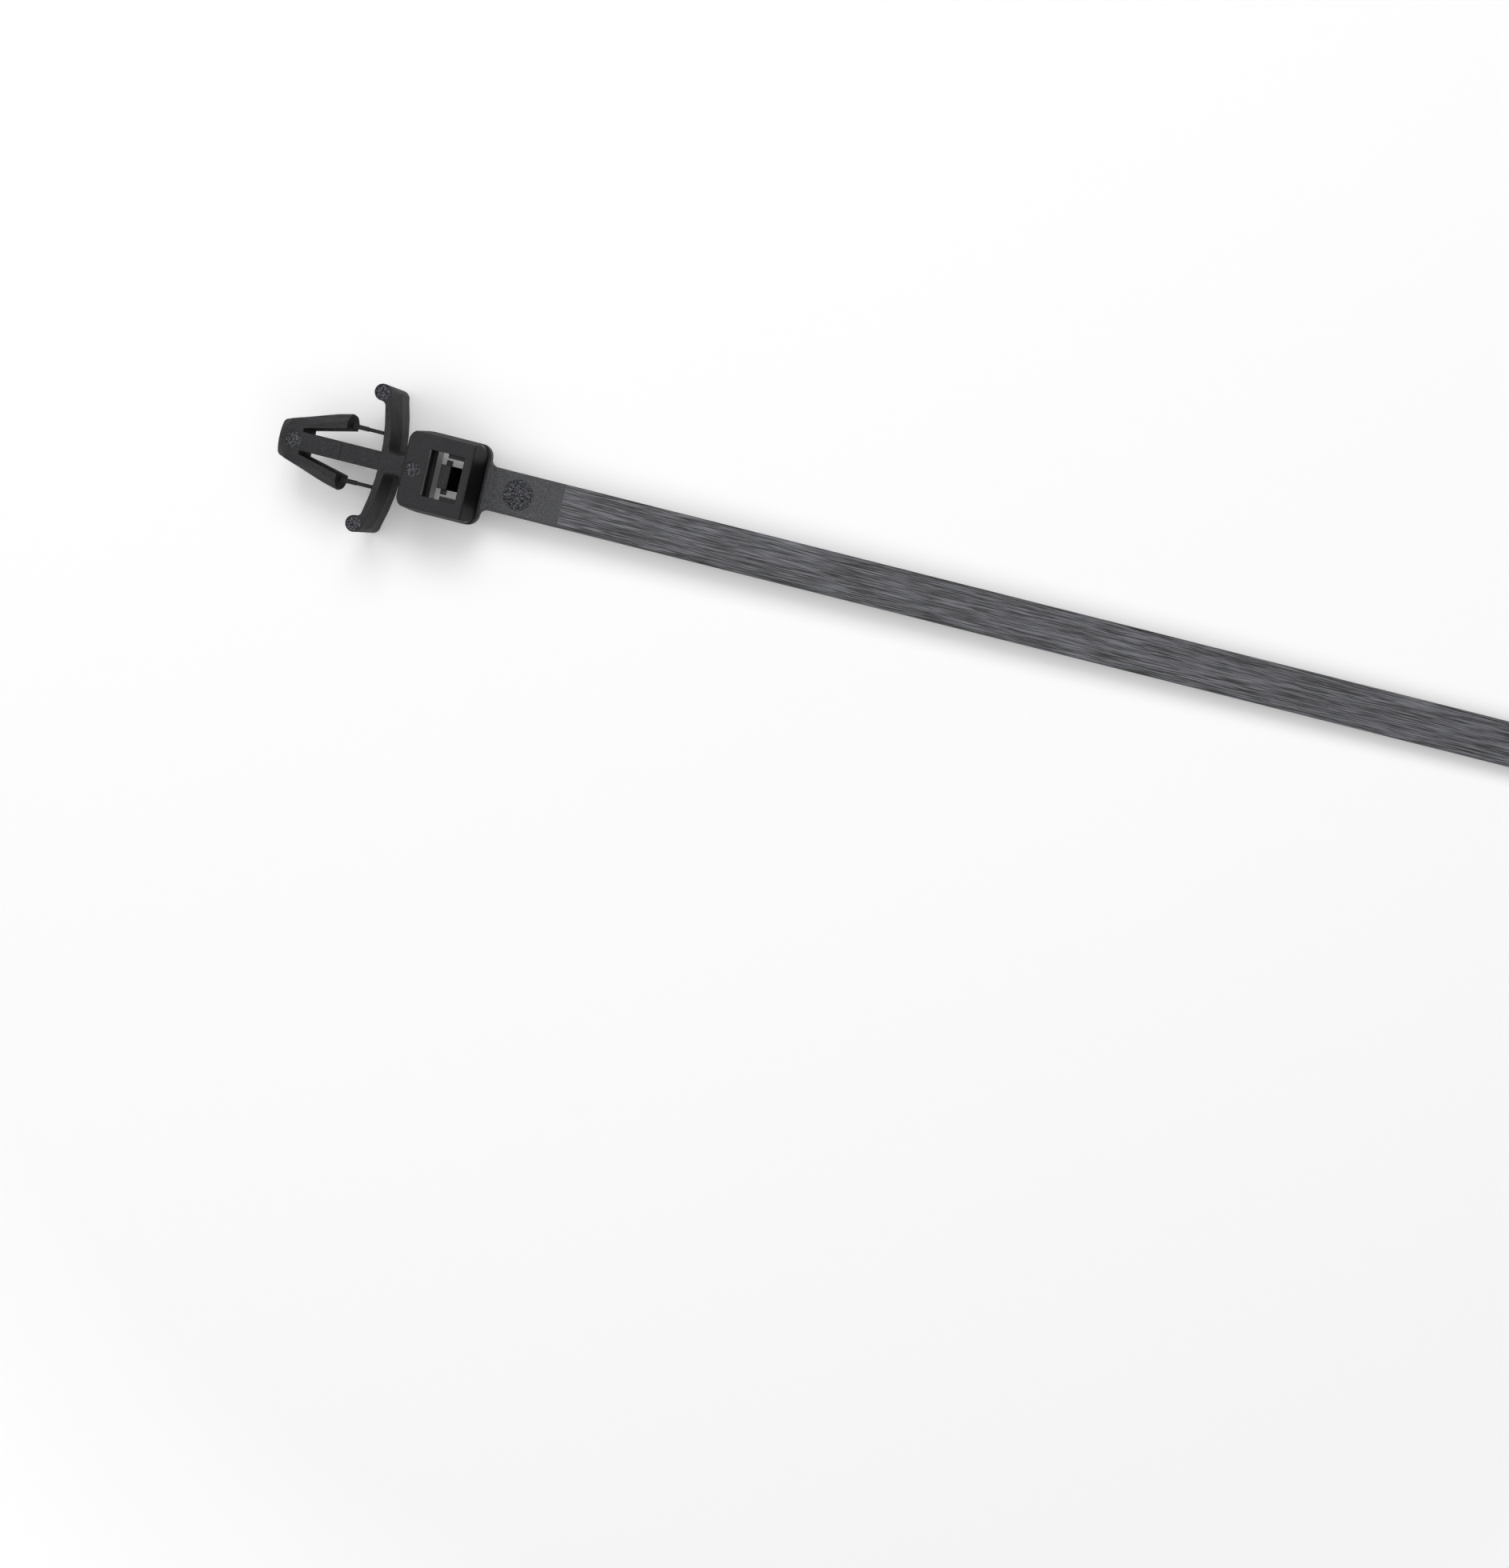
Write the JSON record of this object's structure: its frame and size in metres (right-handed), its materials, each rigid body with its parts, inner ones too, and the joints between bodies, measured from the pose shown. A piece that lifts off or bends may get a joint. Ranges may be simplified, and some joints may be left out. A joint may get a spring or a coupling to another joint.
{
  "type": "fir tree cable tie",
  "caption": "Black push-mount cable tie with a barbed arrowhead, sprung wings and a ratchet head, moulded in one piece with a toothed strap.",
  "frame": {"origin": "on the arrowhead's axis, in the plane where the wing tips meet the panel", "axes": "+X along the strap towards its tail, -X out through the arrowhead's nose, +Z away from the toothed face, Y across the strap"},
  "size_m": [0.2, 0.016, 0.0096],
  "materials": {
    "black_nylon": "semi-gloss black nylon"
  },
  "bodies": {
    "root": {"cable_tie": "black_nylon"}
  },
  "joints": []
}
